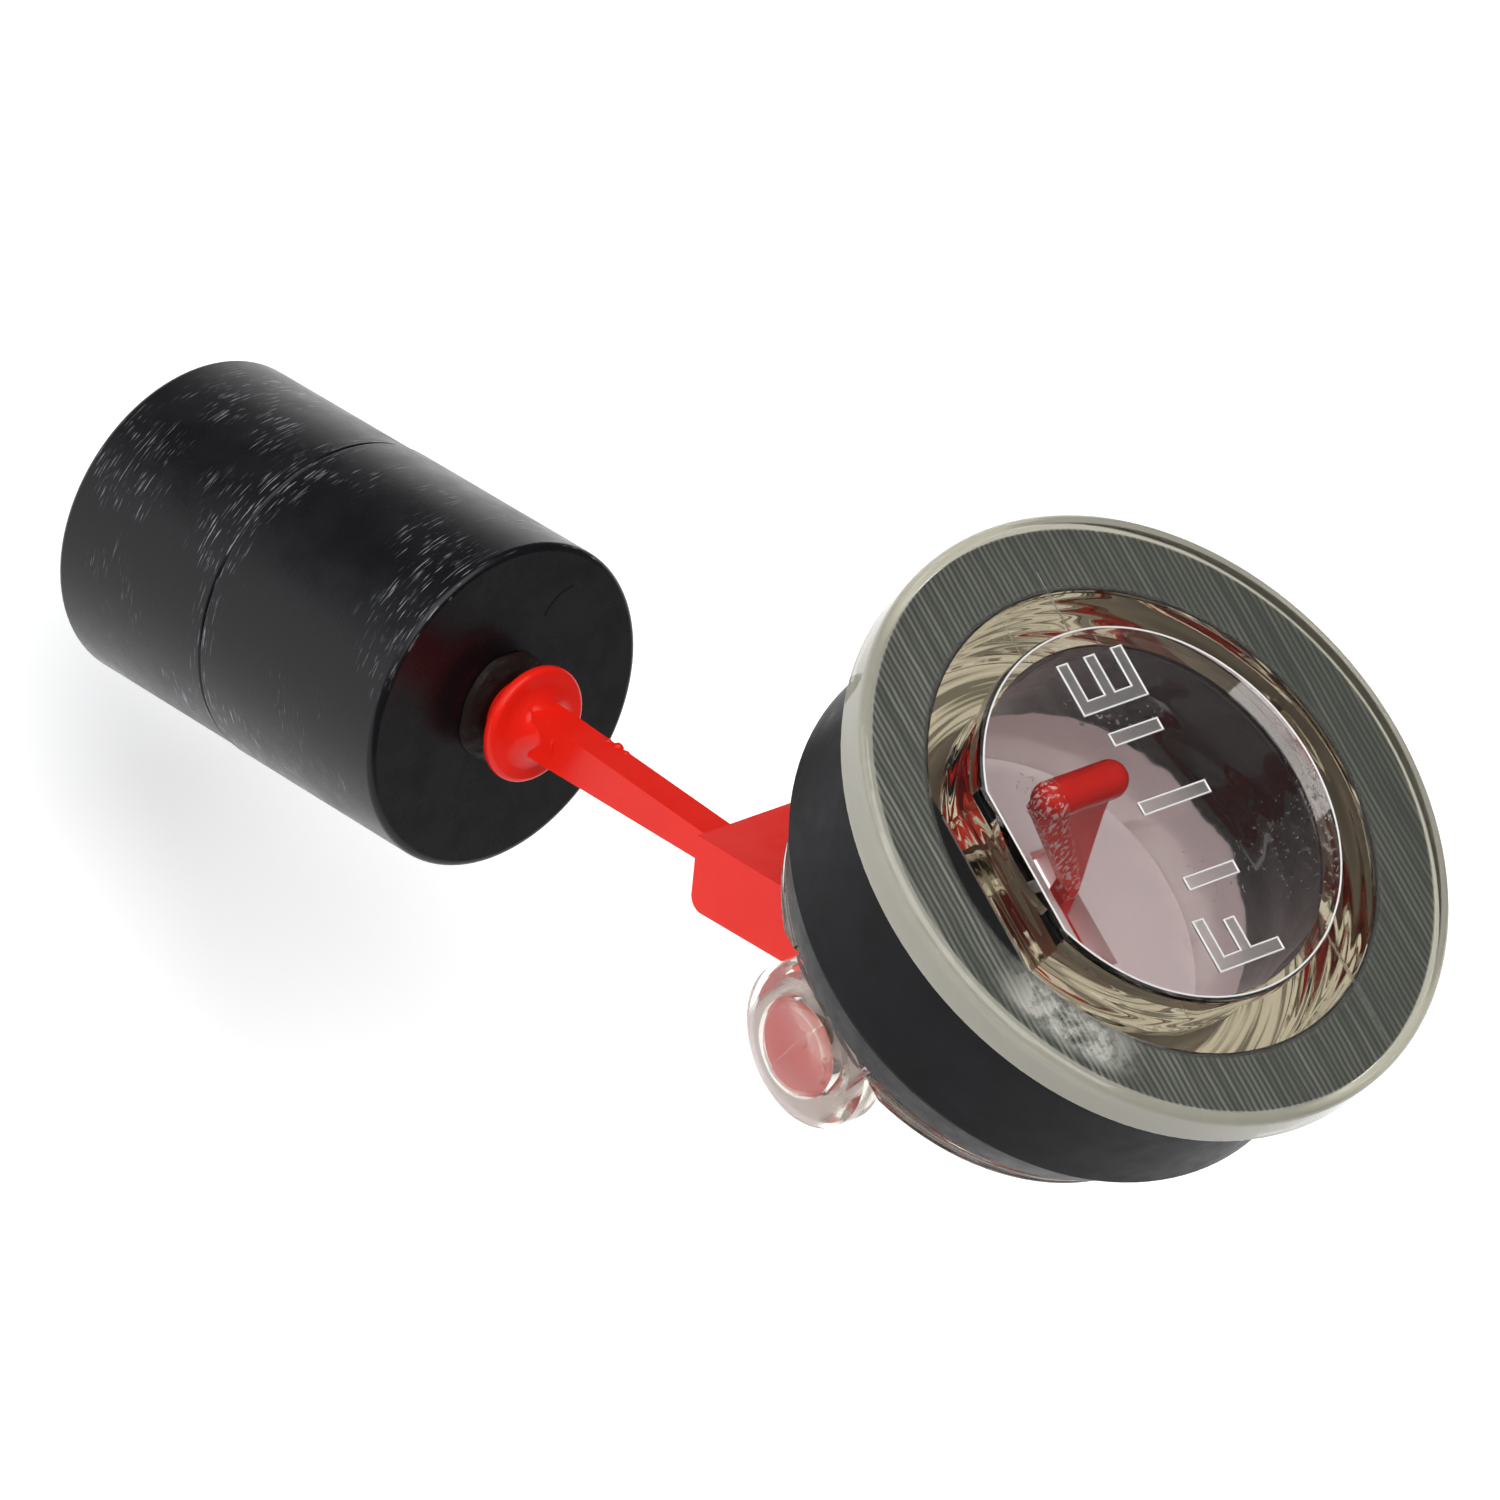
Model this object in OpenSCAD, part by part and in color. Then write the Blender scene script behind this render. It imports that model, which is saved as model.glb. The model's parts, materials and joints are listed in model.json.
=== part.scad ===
// Float-operated fuel level gauge that presses into the neck of a small tank.
// A clear round housing with a dial window sits on a rubber grommet. Under it a red
// arm swings on two trunnions, with a float on its end and a pointer below the window.
// Origin: centre of the flange's lower rim. +Z leaves the dial face, X is the pivot's
// direction, and the arm reaches towards +Y and down. Millimetres.

/* [Flange and housing] */
// Outer diameter of the clear flange
flange_d = 38; // [36:0.5:42]
// Height of the flange's rim
flange_h = 2.5; // [2.2:0.1:3]
// Thickness of the flange above the rubber
flange_web = 1.3; // [1.1:0.1:1.5]
// Outer radius of the cup that passes through the grommet
cup_r = 14.4; // [14.2:0.1:14.8]
// Wall thickness of the cup
cup_wall = 3.4; // [3:0.1:3.6]
// Depth of the cup's lower edge below the flange
cup_depth = 15; // [14.5:0.5:15.5]
// Depth of the cup's floor below the flange
floor_depth = 13.2; // [12.8:0.1:13.6]
// How much the flat on the cup's side takes off its radius
cup_flat = 1.1; // [0.8:0.1:1.4]

/* [Dial window] */
// Radius of the window
window_r = 11.65; // [11.4:0.05:11.7]
// How far the window stands above the flange
window_proud = 0.4; // [0.2:0.1:0.6]
// Width of one stroke of the scale
stroke_w = 0.75; // [0.5:0.05:0.9]
// Height of the scale's relief
stroke_h = 0.15; // [0.1:0.05:0.3]

/* [Grommet] */
// Outer radius of the barrel that the tank's neck grips
grommet_r = 17.1; // [16.8:0.1:17.6]
// Length of that barrel
grommet_len = 9.3; // [8.5:0.1:9.5]
// Depth of the tapered lip's end
lip_depth = 13; // [12.5:0.5:13.5]

/* [Pivot] */
// Depth of the pivot's axis below the flange
pivot_depth = 19.2; // [19:0.1:19.6]
// Radius of the trunnions
trunnion_r = 2.8; // [2.4:0.1:3.2]
// Radius of the rounded ears
ear_r = 4.9; // [4.6:0.1:5.2]
// Distance from the middle to an ear's inner face
ear_x = 10.75; // [10.6:0.05:10.9]

/* [Arm] */
// Angle of the arm below the horizontal as stored
arm_angle = 37.7; // [30:0.1:45]
// Distance from the pivot to the float's front face
arm_len = 40; // [38:0.5:44]
// Width of the bar
bar_w = 2.1; // [1.8:0.1:2.4]
// Length of the hub block from the pivot
block_len = 21.2; // [18:0.2:23]
// Radius of the collar at the float
collar_r = 3.7; // [3.4:0.05:4.2]

/* [Pointer] */
// Lean of the pointer from the vertical as stored
pointer_lean = 14; // [10:1:16]
// Distance from the pivot to the finger's axis
finger_reach = 16.8; // [16:0.1:17]
// Radius of the finger
finger_r = 1.15; // [0.9:0.05:1.2]

/* [Float] */
// Diameter of the float
float_d = 20.75; // [19:0.25:22]
// Length of the float
float_len = 29; // [27:0.5:31]
// Share of the length that the front half takes
float_split = 0.54; // [0.5:0.01:0.6]
// Wall thickness of the float
float_wall = 1.2; // [1:0.1:1.5]

/* [Hidden] */
$fn = 96;

eps = 0.01;
gap = 0.05;
arc_steps = 8;

rim_round = 0.5;
seat_z = flange_h - flange_web;
seat_r = flange_d / 2 - 0.7;
cup_in = cup_r - cup_wall;

window_z0 = 0.9;
window_gap = 0.02;
window_top = flange_h + window_proud;
window_chamfer = 0.15;

floor_t = cup_depth - floor_depth;
slot_x0 = 3;
slot_x1 = 4.75;
slot_y0 = -3.5;
slot_y1 = 4.3;

ear_dome = 1.6;
ear_neck = 3.75;
ear_neck_x = 13;
ear_edge_x = 12.5;
ear_skin = 1.2;
slit_x = 9;
slit_len = 6;
slit_w = 0.45;
slit_h = 1.8;

pocket_r = trunnion_r + gap;
pocket_x = ear_edge_x + ear_dome - ear_skin;
shoulder_gap = 0.1;
shoulder_r = pivot_depth - cup_depth - shoulder_gap;
shoulder_w = 1.3;

bar_top_hub = 0.3;
bar_top_float = 1.45;
bar_low = -1.5;
bar_end = arm_len - 3.4;
block_x0 = -1.7;
block_x1 = 6;
block_top = 0.5;
block_low = -4.25;
block_round = 0.9;
block_nose_r = 4.2;
block_back = 2.9;
collar_t = 0.8;
collar_gap = 2.1;
neck_r = 2.1;
spigot_r = 2;
spigot_len = 12;

web_t = 1.2;
finger_x0 = -2.6;
finger_x1 = 1.9;

front_len = float_len * float_split;
rear_len = float_len - front_len;
float_r = float_d / 2;
float_edge = 0.45;
socket_wall = 1.3;
joint_lap = 2.5;
joint_step = 0.08;
seam_edge = 0.15;

// Points on an arc from angle a0 to a1 about [x, y]
function arc(x, y, r, a0, a1, n = arc_steps) =
    [for (i = [0:n]) let (a = a0 + (a1 - a0) * i / n) [x + r * cos(a), y + r * sin(a)]];

// A round plan with one side cut flat, which keys the pieces to each other
module keyed_round(r, flat_at) {
    difference() {
        circle(r = r);
        translate([-2 * r - flat_at, -r]) square([2 * r, 2 * r]);
    }
}

module keyed_post(r, z0, z1) {
    translate([0, 0, z0]) linear_extrude(z1 - z0) keyed_round(r, r - cup_flat);
}

// Turn a shape that was made about Z so that it runs along +X or -X
module along_x(side) {
    rotate([0, 90 * side, 0]) children();
}

// The arm's own frame: X across, Y along the arm, Z its upper side
module arm_frame() {
    translate([0, 0, -pivot_depth]) rotate([-arm_angle, 0, 0]) children();
}

// Turned about the arm's length, from distance y0 outwards
module about_arm(y0) {
    arm_frame() translate([0, y0, 0]) rotate([-90, 0, 0]) children();
}

module flange_ring() {
    r = flange_d / 2;
    lower = 0.2;
    rotate_extrude() polygon(concat(
        [[cup_in, seat_z], [seat_r, seat_z], [seat_r, 0]],
        arc(r - lower, lower, lower, -90, 0),
        arc(r - rim_round, flange_h - rim_round, rim_round, 0, 90),
        [[cup_in, flange_h]]));
}

// Low bead under the grommet's lip that keeps it on the cup
module cup_bead() {
    bead = 0.35;
    bead_z = -cup_depth + 1.1;
    intersection() {
        rotate_extrude() polygon(concat([[cup_r - 1, bead_z - 0.6]],
            arc(cup_r, bead_z, bead, -90, 90), [[cup_r - 1, bead_z + 0.6]]));
        keyed_post(cup_r + 1, -cup_depth, -lip_depth);
    }
}

// A rounded ear with a slightly domed outer face, joined to the cup by a neck
module ear(side) {
    cap_r = (ear_r * ear_r + ear_dome * ear_dome) / (2 * ear_dome);
    half = asin(ear_r / cap_r);
    translate([0, 0, -pivot_depth]) along_x(side) rotate_extrude()
        polygon(concat([[0, ear_x], [ear_r - 0.3, ear_x], [ear_r, ear_x + 0.3]],
            arc(0, ear_edge_x + ear_dome - cap_r, cap_r, 90 - half, 90)));
    translate([side > 0 ? ear_x : -ear_neck_x, -ear_neck, -pivot_depth])
        cube([ear_neck_x - ear_x, 2 * ear_neck, pivot_depth - cup_depth + 1]);
}

// Flange, cup, floor and ears in one moulding; the floor is slotted for the pointer's stem
module housing() color([0.85, 0.88, 0.84, 0.45]) difference() {
    union() {
        flange_ring();
        keyed_post(cup_r, -cup_depth, seat_z + eps);
        cup_bead();
        for (side = [-1, 1]) ear(side);
    }
    keyed_post(cup_in, -floor_depth, window_z0 + eps);
    translate([slot_x0, slot_y0, -floor_depth - floor_t - eps])
        cube([slot_x1 - slot_x0, slot_y1 - slot_y0, floor_t + 2 * eps]);
    keyed_post(window_r + gap, window_z0, flange_h + eps);
    for (side = [-1, 1]) {
        translate([0, 0, -pivot_depth]) along_x(side)
            translate([0, 0, ear_x - 1]) cylinder(r = pocket_r, h = pocket_x - ear_x + 1);
        for (edge = [-1, 1])
            translate([side > 0 ? slit_x : -slit_x - slit_len, edge * (ear_neck + slit_w / 2) - slit_w / 2,
                -cup_depth - eps]) cube([slit_len, slit_w, slit_h]);
    }
}

// One straight stroke from [x0, y0] to [x1, y1] along an axis of the plan
module stroke(x0, y0, x1, y1) {
    translate([min(x0, x1), min(y0, y1)])
        square([max(abs(x1 - x0), stroke_w), max(abs(y1 - y0), stroke_w)]);
}

// The generic scale: E, three ticks and F, read with -X upwards
module scale_marks() {
    letter_h = 4.9;
    letter_w = 3.2;
    e_x = -1.8;
    e_y = 6.6;
    f_x = -2.3;
    f_y = -9.8;
    f_middle_w = letter_w * 0.85;
    middle = (letter_h - stroke_w) / 2;
    // Both ends of each tick in X, and its place in Y
    ticks = [[-0.9, 2.8, 4.4], [-1.5, 3.6, 0.1], [-1.3, 2.5, -4.8]];
    stroke(e_x, e_y, e_x + letter_h, e_y);
    for (x = [0, middle, letter_h - stroke_w]) stroke(e_x + x, e_y, e_x + x, e_y + letter_w);
    for (t = ticks) stroke(t[0], t[2], t[1], t[2]);
    stroke(f_x, f_y, f_x + letter_h, f_y);
    stroke(f_x, f_y, f_x, f_y + letter_w);
    stroke(f_x + middle, f_y, f_x + middle, f_y + f_middle_w);
}

module dial_window() color([0.86, 0.78, 0.76, 0.5]) {
    difference() {
        rotate_extrude() polygon([[0, window_z0 + window_gap], [window_r, window_z0 + window_gap],
            [window_r, window_top - window_chamfer], [window_r - window_chamfer, window_top],
            [0, window_top]]);
        translate([-2 * window_r - window_r + cup_flat - gap, -window_r, 0])
            cube([2 * window_r, 2 * window_r, 2 * window_top]);
    }
    translate([0, 0, window_top - eps]) linear_extrude(stroke_h + eps) scale_marks();
}

// Barrel with a flange in the housing's recess, a shallow groove and a tapered lip
module grommet() color([0.12, 0.12, 0.13]) difference() {
    core_r = cup_r - cup_flat - 1;
    flange_r = seat_r - 0.05;
    flange_top = seat_z - 0.03;
    groove = 0.6;
    lip_r = cup_r + 0.9;
    rotate_extrude() polygon([[core_r, flange_top], [flange_r, flange_top],
        [flange_r, 0.12], [grommet_r, 0], [grommet_r, -grommet_len],
        [grommet_r - groove, -grommet_len - 0.1], [grommet_r - groove, -grommet_len - 0.3],
        [grommet_r - 0.35, -grommet_len - 0.4], [lip_r, -lip_depth + 0.2],
        [lip_r - 0.3, -lip_depth], [core_r, -lip_depth]]);
    translate([0, 0, -lip_depth - 1]) linear_extrude(lip_depth + seat_z + 2)
        keyed_round(cup_r + gap, cup_r - cup_flat + gap);
}

// Side view of the bar, deeper at the float than at the block
module bar() {
    translate([-bar_w / 2, 0, 0]) rotate([90, 0, 90]) linear_extrude(bar_w)
        polygon([[2, bar_low], [bar_end, bar_low], [bar_end, bar_top_float],
            [block_len - 1, bar_top_hub], [2, bar_top_hub]]);
}

// Side view of the hub block, rounded about the pivot and at its lower front corner
module block() {
    nose_start = 175;
    nose_end = 250;
    translate([block_x0, 0, 0]) rotate([90, 0, 90]) linear_extrude(block_x1 - block_x0)
        polygon(concat([[0, block_top], [-block_back, block_top]],
            arc(0, 0, block_nose_r, nose_start, nose_end),
            arc(block_len - block_round, block_low + block_round, block_round, -90, 0),
            [[block_len, block_top]]));
}

module trunnion(side) {
    lead = 0.4;
    end_x = pocket_x - 0.15;
    along_x(side) {
        cylinder(r = trunnion_r, h = end_x - lead);
        translate([0, 0, end_x - lead]) cylinder(r1 = trunnion_r, r2 = trunnion_r - lead, h = lead);
        translate([0, 0, ear_x - gap - shoulder_w]) cylinder(r = shoulder_r, h = shoulder_w);
    }
}

// Flat web and stem that carry the finger, in the plane through the pivot
module pointer() {
    rotate([-pointer_lean, 0, 0]) {
        translate([0, web_t / 2, 0]) rotate([90, 0, 0]) linear_extrude(web_t)
            polygon([[finger_x0 - 0.9, finger_reach], [finger_x1, finger_reach],
                [finger_x1 + 0.4, finger_reach - 2.5], [4.2, 6.9], [4.9, 2], [3.2, 2], [3.4, 6.9],
                [finger_x0 - 1, finger_reach - 0.8]]);
        translate([finger_x0, 0, finger_reach]) along_x(1) cylinder(r = finger_r, h = finger_x1 - finger_x0);
        for (x = [finger_x0, finger_x1]) translate([x, 0, finger_reach]) sphere(r = finger_r);
    }
}

// Collar, neck and spigot, turned about the arm's length
module float_seat() {
    y0 = arm_len - collar_gap - collar_t;
    edge = 0.35;
    flare_len = 2.6;
    flare_tip_r = 1.2;
    flare_r = 1.7;
    flare_edge = 2.8;
    lead = 0.5;
    face = collar_t + collar_gap;
    tip = face + spigot_len;
    about_arm(y0) rotate_extrude() polygon(concat(
        [[0, -flare_len], [flare_tip_r, -flare_len]], arc(flare_edge, -flare_r, flare_r, 180, 90, 6),
        arc(collar_r - edge, edge, edge, -90, 0), arc(collar_r - edge, collar_t - edge, edge, 0, 90),
        [[neck_r, collar_t], [neck_r, face], [spigot_r, face], [spigot_r, tip - lead],
         [spigot_r - lead, tip], [0, tip]]));
}

module float_arm() color([0.9, 0.13, 0.1]) {
    arm_frame() {
        bar();
        block();
    }
    translate([0, 0, -pivot_depth]) {
        for (side = [-1, 1]) trunnion(side);
        pointer();
    }
    float_seat();
}

// Bead of adhesive round the neck, on the float's front face
module float_bond() color([0.1, 0.07, 0.06]) {
    film = 0.02;
    rise = 0.8;
    spread = 1.35;
    about_arm(arm_len - film) rotate_extrude() polygon([[neck_r + film, -rise + film],
        [neck_r + 0.5, -rise + 0.07], [neck_r + 1.1, -rise + 0.47], [neck_r + spread, 0], [neck_r + film, 0]]);
}

// Profile of a float half from its end face, with the wall and the rounded edge
module float_front() color([0.09, 0.09, 0.1]) {
    bore_r = spigot_r + gap;
    tube_r = bore_r + socket_wall;
    tube_len = spigot_len + 2;
    lap_r = float_r - float_wall / 2;
    about_arm(arm_len) rotate_extrude() polygon(concat(
        [[bore_r, 0]], arc(float_r - float_edge, float_edge, float_edge, -90, 0),
        [[float_r, front_len - seam_edge], [float_r - seam_edge, front_len],
         [lap_r, front_len], [lap_r, front_len - joint_lap],
         [float_r - float_wall, front_len - joint_lap], [float_r - float_wall, float_wall],
         [tube_r, float_wall], [tube_r, tube_len], [0, tube_len], [0, tube_len - socket_wall],
         [bore_r, tube_len - socket_wall]]));
}

module float_rear() color([0.08, 0.08, 0.09]) {
    r = float_r - joint_step;
    inner_r = r - float_wall;
    lap_r = float_r - float_wall / 2 - 0.03;
    lap_in = float_r - float_wall - 0.5;
    lap_end = -joint_lap + 0.1;
    face = 0.02;
    about_arm(arm_len + front_len) rotate_extrude() polygon(concat(
        [[r - seam_edge, face], [r, face + seam_edge]],
        arc(r - float_edge, rear_len - float_edge, float_edge, 0, 90),
        [[0, rear_len], [0, rear_len - float_wall], [inner_r, rear_len - float_wall],
         [inner_r, 0.6], [inner_r - 0.5, -0.2], [lap_in, lap_end], [lap_r, lap_end], [lap_r, face]]));
}

housing();
dial_window();
grommet();
float_arm();
float_bond();
float_front();
float_rear();
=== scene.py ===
import json
import math
import random

import bmesh
import bpy
from mathutils import Matrix, Vector, noise


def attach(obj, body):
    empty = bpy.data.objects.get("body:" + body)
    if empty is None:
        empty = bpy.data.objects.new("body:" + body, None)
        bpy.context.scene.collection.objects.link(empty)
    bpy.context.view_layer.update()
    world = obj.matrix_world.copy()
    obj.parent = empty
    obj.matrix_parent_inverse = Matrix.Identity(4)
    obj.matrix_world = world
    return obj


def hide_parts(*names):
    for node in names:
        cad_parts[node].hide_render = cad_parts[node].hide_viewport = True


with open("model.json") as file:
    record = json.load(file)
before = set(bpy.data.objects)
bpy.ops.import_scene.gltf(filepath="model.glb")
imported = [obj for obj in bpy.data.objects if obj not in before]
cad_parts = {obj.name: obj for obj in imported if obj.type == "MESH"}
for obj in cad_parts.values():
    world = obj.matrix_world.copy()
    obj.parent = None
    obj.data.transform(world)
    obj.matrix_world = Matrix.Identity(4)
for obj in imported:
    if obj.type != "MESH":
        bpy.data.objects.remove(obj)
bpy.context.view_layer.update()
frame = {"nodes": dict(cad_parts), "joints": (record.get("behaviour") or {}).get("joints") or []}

MM = 0.001
nodes = frame["nodes"]
hinge = Vector(frame["joints"][0]["pos_m"])

# The arm's slope as stored, and the frame that its float is turned in
ARM_ANGLE = math.radians(37.7)
ARM_LEN = 40 * MM
along = Vector((0, math.cos(ARM_ANGLE), -math.sin(ARM_ANGLE)))
upward = Vector((0, math.sin(ARM_ANGLE), math.cos(ARM_ANGLE)))
sideways = Vector((1, 0, 0))
# Centre, across and above the float's axis, and radius of the arc of the nick on its face
NICK_CENTRE = (5.0 * MM, 4.0 * MM)
NICK_R = 2.8 * MM
# The bar's top: its height above the arm's line where it starts to rise, how far along the
# arm that is, both in mm, and the rise for each mm from there
BAR_TOP_AT_BLOCK = 0.3
RISE_START = 20.2
BAR_RISE = 0.07
# Distance from the hinge to the line where the float's halves meet
SEAM_AT = ARM_LEN + 15.66 * MM
WINDOW_TOP = 2.9 * MM
MARKS_TOP = 3.05 * MM


# ---------------------------------------------------------------- camera
CAMERA_AT = Vector((-445.4, -131.7, 508.1)) * MM
CAMERA_AZIMUTH = math.radians(71.28)
CAMERA_DOWN = math.radians(48.63)
CAMERA_ROLL = math.radians(46.68)
CAMERA_LENS = 296.5


def make_camera():
    look = Vector((math.cos(CAMERA_DOWN) * math.sin(CAMERA_AZIMUTH),
                   math.cos(CAMERA_DOWN) * math.cos(CAMERA_AZIMUTH), -math.sin(CAMERA_DOWN)))
    level = look.cross(Vector((0, 0, 1))).normalized()
    top = level.cross(look)
    right = level * math.cos(CAMERA_ROLL) + top * math.sin(CAMERA_ROLL)
    up = right.cross(look)
    data = bpy.data.cameras.new("camera")
    data.lens = CAMERA_LENS
    data.sensor_width = 36
    data.clip_start = 0.01
    data.clip_end = 20
    cam = bpy.data.objects.new("camera", data)
    bpy.context.scene.collection.objects.link(cam)
    turn = Matrix((right, up, -look)).transposed()
    cam.matrix_world = Matrix.Translation(CAMERA_AT) @ turn.to_4x4()
    bpy.context.scene.camera = cam


# ---------------------------------------------------------------- shader helper
class Net:
    """A material's node tree, built by short calls."""

    def __init__(self, name):
        self.mat = bpy.data.materials.new(name)
        self.mat.use_nodes = True
        self.tree = self.mat.node_tree
        self.tree.nodes.clear()
        self.out = self.tree.nodes.new("ShaderNodeOutputMaterial")
        self.coords = self.tree.nodes.new("ShaderNodeTexCoord").outputs["Object"]

    def add(self, kind, inputs=None, **settings):
        n = self.tree.nodes.new("ShaderNode" + kind)
        for key, value in settings.items():
            setattr(n, key, value)
        for key, value in (inputs or {}).items():
            if isinstance(value, bpy.types.NodeSocket):
                self.tree.links.new(value, n.inputs[key])
            else:
                n.inputs[key].default_value = value
        return n

    def math(self, operation, a, b=0.0, c=0.0):
        return self.add("Math", {0: a, 1: b, 2: c}, operation=operation).outputs[0]

    def noise(self, scale, detail=3.0, rough=0.5, at=None, distortion=0.0):
        return self.add("TexNoise", {"Vector": at or self.coords, "Scale": scale, "Detail": detail,
                                     "Roughness": rough, "Distortion": distortion}).outputs["Fac"]

    def span(self, value, low, high, to_low=0.0, to_high=1.0):
        return self.add("MapRange", {"Value": value, "From Min": low, "From Max": high,
                                     "To Min": to_low, "To Max": to_high}).outputs["Result"]

    def stretched(self, scale, turn=(0, 0, 0)):
        return self.add("Mapping", {"Vector": self.coords, "Scale": scale, "Rotation": turn}).outputs[0]

    def along_arm(self):
        """Distance along the arm, across it and above it, all from the hinge."""
        local = self.add("VectorMath", {0: self.coords, 1: hinge}, operation="SUBTRACT").outputs[0]
        return [self.add("VectorMath", {0: local, 1: axis}, operation="DOT_PRODUCT").outputs["Value"]
                for axis in (along, sideways, upward)]

    def length2(self, a, b):
        return self.math("SQRT", self.math("ADD", self.math("MULTIPLY", a, a), self.math("MULTIPLY", b, b)))

    def both(self, *masks):
        result = masks[0]
        for mask in masks[1:]:
            result = self.math("MULTIPLY", result, mask)
        return result

    def mix(self, factor, a, b):
        return self.add("Mix", {0: factor, 6: a, 7: b}, data_type="RGBA").outputs[2]

    def bump(self, height, distance, strength=1.0, normal=None):
        inputs = {"Height": height, "Distance": distance, "Strength": strength}
        if normal:
            inputs["Normal"] = normal
        return self.add("Bump", inputs).outputs[0]

    def shade(self, inputs):
        bsdf = self.add("BsdfPrincipled", inputs)
        self.tree.links.new(bsdf.outputs[0], self.out.inputs["Surface"])
        return self.mat

    def absorb(self, color, density):
        volume = self.add("VolumeAbsorption", {"Color": color, "Density": density})
        self.tree.links.new(volume.outputs[0], self.out.inputs["Volume"])


def red_plastic():
    m = Net("red_plastic")
    tone = m.span(m.noise(140, 4), 0.3, 0.7)
    color = m.mix(tone, (0.72, 0.011, 0.005, 1), (0.78, 0.018, 0.008, 1))
    # The pointer's web is grainy from its outer edge to a line that slants down to the stem
    at = m.add("SeparateXYZ", {0: m.coords}).outputs
    height = m.math("SUBTRACT", at[2], hinge.z)
    edge = m.math("ADD", at[0], m.math("MULTIPLY", height, 0.66))
    grain = m.both(m.span(edge, 9.1 * MM, 8.7 * MM), m.span(height, 6.0 * MM, 6.4 * MM))
    # Pale pink specks over the grainy part are painted glints, the sparkle its rough face catches
    specks = m.noise(1.0, 2, at=m.stretched((4200, 4200, 2100)))
    painted_glints = m.math("MULTIPLY", grain, m.span(specks, 0.54, 0.60))
    color = m.mix(painted_glints, color, (0.95, 0.60, 0.58, 1))
    rough = m.math("ADD", m.span(m.noise(420, 5), 0.3, 0.75, 0.14, 0.26),
                   m.math("MULTIPLY", grain, 0.25))
    sink = m.bump(m.noise(210, 2), 0.10 * MM, 0.35)
    peel = m.bump(m.noise(1900, 3), 0.012 * MM, 0.5, sink)
    rasp = m.bump(m.math("MULTIPLY", grain, m.noise(2600, 3)), 0.15 * MM, 0.8, peel)
    return m.shade({"Base Color": color, "Roughness": rough, "Normal": rasp,
                    "IOR": 1.5, "Specular IOR Level": 0.18,
                    "Subsurface Weight": 0.10, "Subsurface Radius": (0.9, 0.06, 0.03),
                    "Subsurface Scale": 0.8 * MM})


def rubber():
    m = Net("rubber")
    color = m.mix(m.span(m.noise(300, 4), 0.3, 0.7), (0.004, 0.004, 0.005, 1), (0.007, 0.007, 0.009, 1))
    rough = m.span(m.noise(700, 5, 0.6), 0.3, 0.7, 0.36, 0.48)
    skin = m.bump(m.noise(4200, 3), 0.008 * MM, 0.4)
    return m.shade({"Base Color": color, "Roughness": rough, "Normal": skin, "IOR": 1.45,
                    "Specular IOR Level": 0.09})


def float_plastic():
    m = Net("float_plastic")
    length, across, above = m.along_arm()
    radial = m.length2(across, above)
    angle = m.math("ARCTAN2", across, above)
    skin = m.span(radial, 9.9 * MM, 10.1 * MM)
    # Short scratches round the float: thin along it, long round it, in a few patches. They are real wear, and
    # their light grey is also a painted highlight for the glints they catch
    ring = m.add("CombineXYZ", {"X": m.math("MULTIPLY", length, 8500), "Y": m.math("MULTIPLY", angle, 5.0),
                                "Z": 0.0}).outputs[0]
    patch = m.span(m.noise(150, 3), 0.48, 0.60)
    seam = m.math("ABSOLUTE", m.math("SUBTRACT", length, SEAM_AT))
    patch = m.math("MAXIMUM", patch, m.span(seam, 1.4 * MM, 0.3 * MM, 0.0, 0.8))
    scratches_and_glints = m.both(m.span(m.noise(1.0, 2, 0.6, at=ring), 0.60, 0.68), patch, skin)
    rubbed = m.both(m.span(m.noise(60, 3), 0.45, 0.7), skin)
    # A curved nick on the front face
    nick = m.length2(m.math("SUBTRACT", across, NICK_CENTRE[0]), m.math("SUBTRACT", above, NICK_CENTRE[1]))
    nick = m.both(m.span(m.math("ABSOLUTE", m.math("SUBTRACT", nick, NICK_R)), 0.14 * MM, 0.08 * MM),
                  m.span(length, ARM_LEN + 0.6 * MM, ARM_LEN + 0.4 * MM),
                  m.span(across, 2.3 * MM, 2.5 * MM), m.span(across, 4.9 * MM, 4.7 * MM),
                  m.span(above, 5.1 * MM, 5.4 * MM))
    color = m.mix(scratches_and_glints, (0.004, 0.004, 0.005, 1), (0.24, 0.24, 0.27, 1))
    # The nick is painted darker than the float: painted shade in its groove
    color = m.mix(nick, color, (0.001, 0.001, 0.001, 1))
    rough = m.math("ADD", m.span(m.noise(420, 4, 0.6), 0.3, 0.7, 0.22, 0.32),
                   m.math("ADD", m.math("MULTIPLY", rubbed, 0.10), m.math("MULTIPLY", nick, 0.6)))
    peel = m.bump(m.noise(3600, 3), 0.006 * MM, 0.4)
    lathe = m.bump(m.both(m.noise(1.0, 3, 0.6, at=ring), skin), 0.012 * MM, 0.45, peel)
    return m.shade({"Base Color": color, "Roughness": rough, "Normal": lathe, "IOR": 1.45,
                    "Specular IOR Level": 0.28})


def adhesive():
    m = Net("adhesive")
    color = m.mix(m.noise(900, 4), (0.004, 0.002, 0.002, 1), (0.016, 0.006, 0.004, 1))
    lumps = m.bump(m.noise(1500, 5, 0.65), 0.10 * MM, 0.9)
    return m.shade({"Base Color": color, "Roughness": m.span(m.noise(1300, 4), 0.3, 0.7, 0.3, 0.75),
                    "Normal": lumps, "Specular IOR Level": 0.14})


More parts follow.
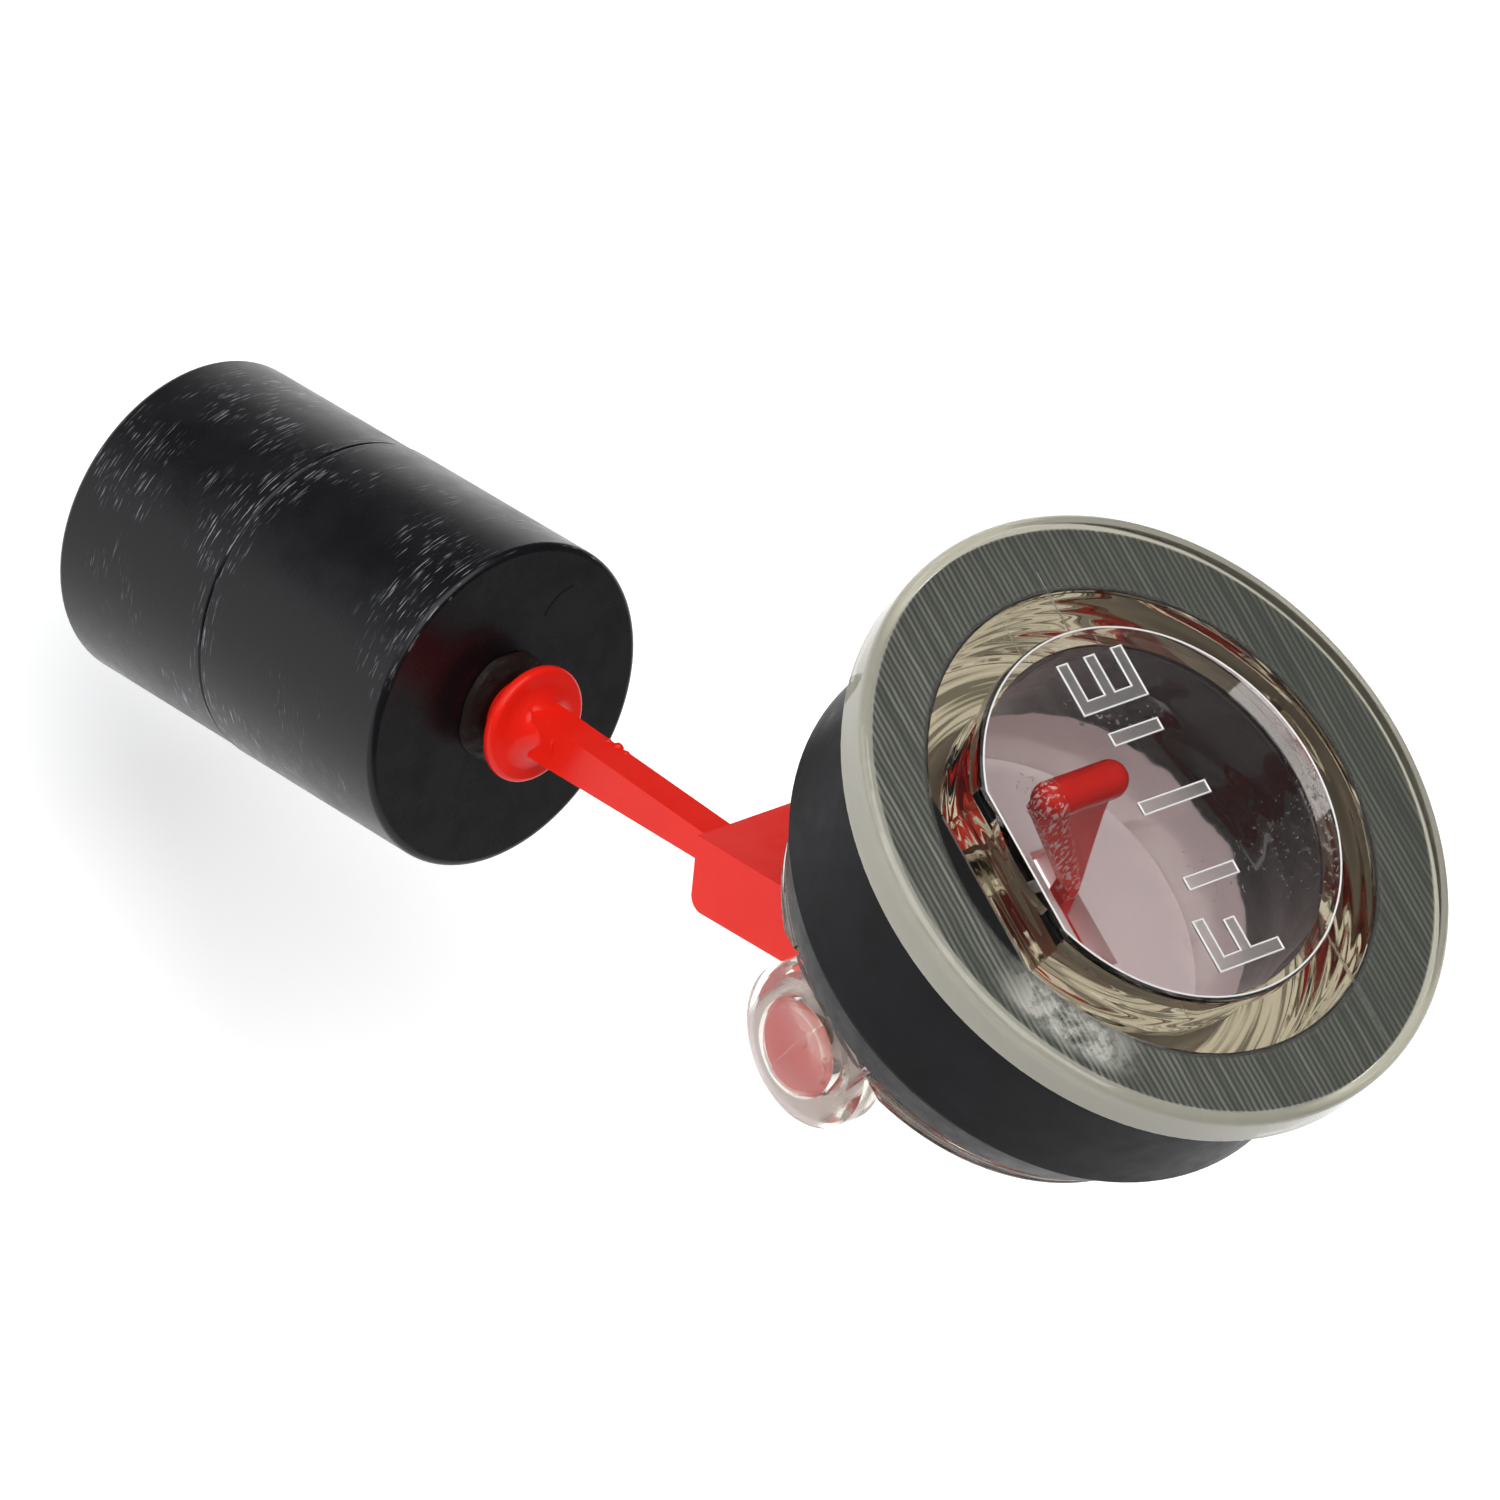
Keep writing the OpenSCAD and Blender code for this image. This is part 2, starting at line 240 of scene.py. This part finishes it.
def clear_plastic():
    m = Net("clear_plastic")
    at = m.add("SeparateXYZ", {0: m.coords}).outputs
    radius = m.length2(at[0], at[1])
    # Fine tool marks across the flange's underside, and a few long scratches on top
    web = m.both(m.span(radius, 14.4 * MM, 14.9 * MM), m.span(radius, 18.28 * MM, 18.24 * MM),
                 m.span(at[2], 1.5 * MM, 1.3 * MM), m.span(at[2], 0.9 * MM, 1.1 * MM))
    hatch = m.add("TexWave", {"Vector": m.coords, "Scale": 800.0, "Distortion": 2.2, "Detail": 2.0,
                              "Detail Scale": 0.35, "Detail Roughness": 0.6}).outputs["Fac"]
    depth = m.span(m.noise(1.0, 3, 0.6, at=m.stretched((1500, 60, 60))), 0.36, 0.66, 0.25, 1.0)
    # The marks are real, but their fade from the −X side towards +X is painted sheen
    marks = m.both(hatch, depth, m.span(at[0], -16 * MM, 17 * MM, 1.0, 0.45))
    # A crumbly bright patch under the flange, beside the cup's flat
    foil_at = m.length2(m.math("ADD", at[0], 13.2 * MM), m.math("ADD", at[1], 9.6 * MM))
    foil = m.both(m.span(foil_at, 5.2 * MM, 2.6 * MM), m.span(radius, 17.4 * MM, 16.6 * MM),
                  m.span(at[2], 0.9 * MM, 1.1 * MM), m.span(at[2], 1.5 * MM, 1.3 * MM),
                  m.span(m.noise(420, 4, 0.7), 0.36, 0.52))
    scratch_a = m.span(m.noise(1.0, 1, at=m.stretched((1400, 34, 34), (0, 0, math.radians(24)))), 0.76, 0.79)
    scratch_b = m.span(m.noise(1.0, 1, at=m.stretched((1700, 44, 44), (0, 0, math.radians(-31)))), 0.76, 0.79)
    scratches = m.both(m.math("MAXIMUM", scratch_a, scratch_b), m.span(at[2], 2.3 * MM, 2.45 * MM))
    # The cup's floor and the lower part of its bore are frosted up to a wavy line. Their pink tint is painted
    # light, red light bounced up from the arm and hub below
    line = m.math("ADD", at[2], m.span(m.noise(260, 3), 0.3, 0.7, -0.5 * MM, 0.5 * MM))
    frost_and_pink_bounce = m.both(m.span(radius, 11.3 * MM, 11.15 * MM), m.span(line, -7.2 * MM, -7.6 * MM))
    color = m.mix(frost_and_pink_bounce, (0.97, 0.97, 0.945, 1), (1.0, 0.90, 0.90, 1))
    # The bore above the frosting is painted darker: painted shade inside the cup
    painted_bore_shade = m.both(m.span(radius, 11.3 * MM, 11.15 * MM), m.span(at[2], 0.8 * MM, 0.6 * MM))
    color = m.mix(m.math("MULTIPLY", painted_bore_shade, m.math("SUBTRACT", 1.0, frost_and_pink_bounce)), color, (0.27, 0.28, 0.28, 1))
    # Dark streaks, slanted on the cup's wall and curled round its lower edge: painted reflections of the
    # black rubber seen through the wall
    turn = m.math("ARCTAN2", at[1], at[0])
    slant = m.math("ADD", m.math("MULTIPLY", turn, 3.2), m.math("MULTIPLY", at[2], 520))
    sweep = m.add("CombineXYZ", {"X": slant,
                                 "Y": m.math("MULTIPLY", at[2], 160), "Z": 0.0}).outputs[0]
    outer = m.both(m.span(radius, 13.0 * MM, 13.2 * MM), m.span(radius, 14.7 * MM, 14.6 * MM),
                   m.span(at[2], 0.85 * MM, 0.6 * MM), m.span(at[2], -14.9 * MM, -14.7 * MM))
    spiral = m.math("ADD", m.math("MULTIPLY", turn, 1.6), m.math("MULTIPLY", radius, 2100))
    curl = m.add("CombineXYZ", {"X": spiral,
                                "Y": m.math("MULTIPLY", turn, 0.9), "Z": 0.0}).outputs[0]
    foot = m.both(m.span(radius, 11.1 * MM, 11.3 * MM), m.span(radius, 14.7 * MM, 14.6 * MM),
                  m.span(at[2], -14.7 * MM, -14.9 * MM), m.span(at[2], -15.2 * MM, -15.1 * MM))
    painted_rubber_reflections = m.math("MAXIMUM", m.both(m.span(m.noise(2.2, 2, 0.5, at=sweep), 0.50, 0.58), outer),
                   m.both(m.span(m.noise(1.0, 2, 0.5, at=curl), 0.46, 0.56), foot))
    color = m.mix(painted_rubber_reflections, color, (0.10, 0.095, 0.085, 1))
    # The skirt round the rubber is slightly cloudy
    skirt = m.span(radius, 18.25 * MM, 18.4 * MM)
    color = m.mix(skirt, color, (0.56, 0.54, 0.44, 1))
    color = m.mix(web, color, m.mix(marks, (0.20, 0.22, 0.20, 1), (0.94, 0.98, 0.91, 1)))
    color = m.mix(foil, color, (0.93, 0.93, 0.92, 1))
    clear = m.math("SUBTRACT", 1.0, m.math("MULTIPLY", frost_and_pink_bounce, 0.80))
    clear = m.math("SUBTRACT", clear, m.math("MULTIPLY", skirt, 0.45))
    clear = m.math("SUBTRACT", clear, m.math("MULTIPLY", web, 0.50))
    clear = m.math("SUBTRACT", clear, m.math("MULTIPLY", foil, 0.50))
    rough = m.math("ADD", m.math("MULTIPLY", web, 0.22), m.math("MULTIPLY", scratches, 0.35))
    rough = m.math("ADD", rough, m.math("MULTIPLY", frost_and_pink_bounce, 0.45))
    rough = m.math("ADD", rough, m.span(m.noise(800, 4), 0.45, 0.8, 0.015, 0.05))
    flow = m.bump(m.noise(150, 2, distortion=0.6), 0.05 * MM, 0.30)
    # Moulding waves that run down the cup's walls
    fan = m.add("CombineXYZ", {"X": m.math("MULTIPLY", turn, 1.3), "Y": m.math("MULTIPLY", at[2], 420),
                               "Z": m.math("MULTIPLY", radius, 60)}).outputs[0]
    wall = m.both(m.span(radius, 14.7 * MM, 14.5 * MM), m.span(at[2], 0.85 * MM, 0.6 * MM))
    flow = m.bump(m.both(m.noise(1.0, 0, 0.4, at=fan), wall), 0.45 * MM, 0.5, flow)
    flow = m.bump(m.both(m.noise(0.8, 1, 0.4, at=curl), foot), 0.5 * MM, 0.6, flow)
    brushed = m.bump(m.math("MULTIPLY", marks, web), 0.03 * MM, 0.7, flow)
    cut = m.bump(scratches, -0.02 * MM, 0.7, brushed)
    m.absorb((0.80, 0.77, 0.695, 1), 230.0)
    return m.shade({"Base Color": color, "Roughness": rough, "Normal": cut, "IOR": 1.49,
                    "Transmission Weight": clear})


def window_plastic():
    m = Net("window_plastic")
    at = m.add("SeparateXYZ", {0: m.coords}).outputs
    raised = m.span(at[2], 2.92 * MM, 2.96 * MM)
    specks = m.span(m.noise(2300, 2), 0.64, 0.70)
    reach = m.length2(m.math("SUBTRACT", at[0], 8.4 * MM), m.math("ADD", at[1], 4.5 * MM))
    gathered = m.math("MAXIMUM", m.span(reach, 4.8 * MM, 2.0 * MM), m.span(m.noise(130, 2), 0.60, 0.72))
    dusty = m.math("MULTIPLY", specks, gathered)
    frost = m.math("MAXIMUM", m.math("MULTIPLY", raised, 0.36), m.math("MULTIPLY", dusty, 0.5))
    rough = m.math("ADD", frost, m.span(m.noise(420, 4), 0.4, 0.8, 0.012, 0.05))
    color = m.mix(m.math("MULTIPLY", raised, 0.7), (0.99, 0.97, 0.965, 1), (0.86, 0.84, 0.83, 1))
    ripple = m.bump(m.noise(120, 2, distortion=0.5), 0.03 * MM, 0.25)
    spots = m.bump(dusty, 0.03 * MM, 0.6, ripple)
    m.absorb((0.95, 0.92, 0.92, 1), 30.0)
    return m.shade({"Base Color": color, "Roughness": rough, "Normal": spots, "IOR": 1.49,
                    "Transmission Weight": m.span(raised, 0.0, 1.0, 1.0, 0.90)})


def frosted_edge_and_highlight():
    # Frosted white for the marks' edges, also used as a painted highlight on the window's rim
    m = Net("frosted_edge_and_highlight")
    rough = m.span(m.noise(2600, 3), 0.3, 0.7, 0.28, 0.5)
    return m.shade({"Base Color": (0.86, 0.84, 0.82, 1), "Roughness": rough, "IOR": 1.49,
                    "Transmission Weight": 0.12, "Normal": m.bump(m.noise(3800, 2), 0.01 * MM, 0.5)})


def plain_floor():
    m = Net("plain_floor")
    color = m.mix(m.noise(3, 2), (0.90, 0.90, 0.90, 1), (0.92, 0.92, 0.92, 1))
    return m.shade({"Base Color": color, "Roughness": 0.9, "Specular IOR Level": 0.0,
                    "Emission Color": (1, 1, 1, 1), "Emission Strength": 0.40})


# ---------------------------------------------------------------- mesh helpers
def merged_copy(node, name, bevel):
    """The node's solid with its split vertices joined and its sharp edges softened."""
    mesh = nodes[node].data.copy()
    mesh.name = name
    bm = bmesh.new()
    bm.from_mesh(mesh)
    bmesh.ops.remove_doubles(bm, verts=bm.verts, dist=0.002 * MM)
    bmesh.ops.dissolve_limit(bm, angle_limit=math.radians(0.6), verts=bm.verts, edges=bm.edges)
    bm.to_mesh(mesh)
    bm.free()
    mesh.materials.clear()
    piece = bpy.data.objects.new(name, mesh)
    bpy.context.scene.collection.objects.link(piece)
    soft = piece.modifiers.new("soft", "BEVEL")
    soft.width = bevel
    soft.segments = 2
    soft.limit_method = "ANGLE"
    soft.angle_limit = math.radians(35)
    soft.use_clamp_overlap = True
    soft.miter_outer = "MITER_ARC"
    bake(piece)
    smooth_by_angle(piece, 40)
    flats = piece.modifiers.new("flats", "WEIGHTED_NORMAL")
    flats.keep_sharp = True
    bake(piece)
    return piece


def bake(piece):
    """Applies the piece's modifiers to its mesh."""
    bpy.context.view_layer.update()
    graph = bpy.context.evaluated_depsgraph_get()
    done = bpy.data.meshes.new_from_object(piece.evaluated_get(graph))
    done.name = piece.name
    piece.modifiers.clear()
    piece.data = done


def smooth_by_angle(piece, angle):
    mesh = piece.data
    mesh.shade_smooth()
    mesh.set_sharp_from_angle(angle=math.radians(angle))


def dress(piece, material):
    piece.data.materials.clear()
    piece.data.materials.append(material)


def settle(piece, body, slot, material, *stands_for):
    dress(piece, material)
    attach(piece, body)
    if stands_for:
        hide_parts(*stands_for)
    return piece


def tube_along_loops(name, loops, radius):
    """A round bead that follows closed loops of points."""
    data = bpy.data.curves.new(name, "CURVE")
    data.dimensions = "3D"
    data.bevel_depth = radius
    data.bevel_resolution = 2
    for loop in loops:
        spline = data.splines.new("POLY")
        spline.points.add(len(loop) - 1)
        for point, co in zip(spline.points, loop):
            point.co = (*co, 1)
        spline.use_cyclic_u = True
    piece = bpy.data.objects.new(name, data)
    bpy.context.scene.collection.objects.link(piece)
    bpy.context.view_layer.update()
    graph = bpy.context.evaluated_depsgraph_get()
    mesh = bpy.data.meshes.new_from_object(piece.evaluated_get(graph))
    bpy.data.objects.remove(piece)
    piece = bpy.data.objects.new(name, mesh)
    bpy.context.scene.collection.objects.link(piece)
    return piece


def outlines(node, level):
    """Closed outlines of the node's flat faces at that height."""
    bm = bmesh.new()
    bm.from_mesh(nodes[node].data)
    bmesh.ops.remove_doubles(bm, verts=bm.verts, dist=0.002 * MM)
    flat = {f for f in bm.faces if all(abs(v.co.z - level) < 0.005 * MM for v in f.verts)}
    rim = [e for e in bm.edges if sum(f in flat for f in e.link_faces) == 1]
    follow = {}
    for e in rim:
        for v in e.verts:
            follow.setdefault(v, []).append(e)
    loops, used = [], set()
    for e in rim:
        if e in used:
            continue
        start, v, loop = e.verts[0], e.verts[1], [e.verts[0].co.copy()]
        used.add(e)
        while v != start:
            loop.append(v.co.copy())
            e = next(n for n in follow[v] if n not in used)
            used.add(e)
            v = e.other_vert(v)
        loops.append(loop)
    bm.free()
    return loops


# ---------------------------------------------------------------- pieces
def make_adhesive(material):
    """The bead round the neck, uneven and smeared a little to one side."""
    piece = merged_copy("float_bond", "adhesive_bead", 0.08 * MM)
    bm = bmesh.new()
    bm.from_mesh(piece.data)
    bmesh.ops.triangulate(bm, faces=bm.faces)
    bmesh.ops.subdivide_edges(bm, edges=[e for e in bm.edges if e.calc_length() > 0.2 * MM], cuts=2,
                              use_grid_fill=True)
    centre = hinge + along * ARM_LEN
    neck = 2.12 * MM
    for v in bm.verts:
        out = (v.co - centre) - along * (v.co - centre).dot(along)
        reach = out.length - neck
        if reach > 0.15 * MM:
            lump = noise.noise(v.co * 260) * 0.7 + noise.noise(v.co * 650) * 0.35
            lump += 0.5 * max(0.0, out.normalized().dot((upward - sideways).normalized()))
            v.co += out.normalized() * reach * lump * 0.35
    bm.to_mesh(piece.data)
    bm.free()
    smooth_by_angle(piece, 60)
    return settle(piece, "arm", "adhesive", material, "float_bond")


def make_flash(material):
    """Small bumps of moulding flash on the bar's far upper edge, near the float."""
    rng = random.Random(7)
    bm = bmesh.new()
    for at, size in ((30.4, 0.26), (31.2, 0.36), (32.0, 0.24), (26.0, 0.16)):
        top = BAR_TOP_AT_BLOCK + (at - RISE_START) * BAR_RISE
        centre = hinge + (along * at + upward * (top - 0.12) + sideways * 0.92) * MM
        blob = bmesh.ops.create_icosphere(bm, subdivisions=2, radius=size * MM)["verts"]
        for v in blob:
            pull = 1 + 0.25 * noise.noise(v.co * 2500 + Vector((at, 0, 0)))
            v.co = centre + v.co * pull * rng.uniform(0.97, 1.03)
    mesh = bpy.data.meshes.new("arm_flash")
    bm.to_mesh(mesh)
    bm.free()
    piece = bpy.data.objects.new("arm_flash", mesh)
    bpy.context.scene.collection.objects.link(piece)
    smooth_by_angle(piece, 80)
    return settle(piece, "arm", "red_plastic", material)


def make_pieces():
    red, black, shell = red_plastic(), rubber(), float_plastic()
    edge, glue = frosted_edge_and_highlight(), adhesive()
    dress(nodes["housing"], clear_plastic())
    dress(nodes["dial_window"], window_plastic())

    for node, name, body, slot, material, bevel in (
            ("grommet", "grommet_body", "gauge", "rubber", black, 0.12),
            ("float_arm", "arm_moulding", "arm", "red_plastic", red, 0.2),
            ("float_front", "float_front_shell", "arm", "float_plastic", shell, 0.06),
            ("float_rear", "float_rear_shell", "arm", "float_plastic", shell, 0.06)):
        piece = merged_copy(node, name, bevel * MM)
        settle(piece, body, slot, material, node)

    make_adhesive(glue)
    make_flash(red)
    marks = tube_along_loops("mark_edges", outlines("dial_window", MARKS_TOP), 0.08 * MM)
    smooth_by_angle(marks, 50)
    settle(marks, "gauge", "window_plastic", edge)
    # A frosted white bead round the window's top edge is a painted highlight for the bright line that edge
    # catches
    widest = max(outlines("dial_window", WINDOW_TOP), key=lambda loop: max(p.length for p in loop))
    rim = tube_along_loops("window_rim_highlight", [widest], 0.06 * MM)
    smooth_by_angle(rim, 50)
    settle(rim, "gauge", "window_plastic", edge)


# ---------------------------------------------------------------- stage
FLOOR_Z = -82 * MM
FLOOR_SIZE = 3.0
TARGET = Vector((0, 18, -18)) * MM


def softbox(name, at, size, power, tint=(1, 1, 1)):
    data = bpy.data.lights.new(name, "AREA")
    data.shape = "RECTANGLE"
    data.size, data.size_y = size
    data.energy = power
    data.color = tint
    lamp = bpy.data.objects.new(name, data)
    bpy.context.scene.collection.objects.link(lamp)
    lamp.location = Vector(at)
    lamp.rotation_euler = (TARGET - Vector(at)).to_track_quat("-Z", "Y").to_euler()


def make_stage():
    bm = bmesh.new()
    bmesh.ops.create_grid(bm, x_segments=8, y_segments=8, size=FLOOR_SIZE / 2)
    mesh = bpy.data.meshes.new("floor")
    bm.to_mesh(mesh)
    bm.free()
    floor = bpy.data.objects.new("floor", mesh)
    bpy.context.scene.collection.objects.link(floor)
    floor.location = (0, 0, FLOOR_Z)
    dress(floor, plain_floor())

    softbox("overhead", (-0.20, 0.02, 0.85), (1.0, 1.0), 10.5)
    softbox("left", (-0.55, 0.45, 0.35), (0.80, 0.60), 2.2, (0.93, 0.96, 1.0))

    world = bpy.data.worlds.new("studio")
    world.use_nodes = True
    sky = world.node_tree.nodes["Background"]
    sky.inputs["Color"].default_value = (0.97, 0.98, 1.0, 1)
    sky.inputs["Strength"].default_value = 0.14
    bpy.context.scene.world = world

    scene = bpy.context.scene
    scene.view_settings.view_transform = "Standard"
    scene.cycles.max_bounces = 24
    scene.cycles.transmission_bounces = 24
    scene.cycles.glossy_bounces = 8
    scene.cycles.blur_glossy = 0.6


make_camera()
make_pieces()
make_stage()
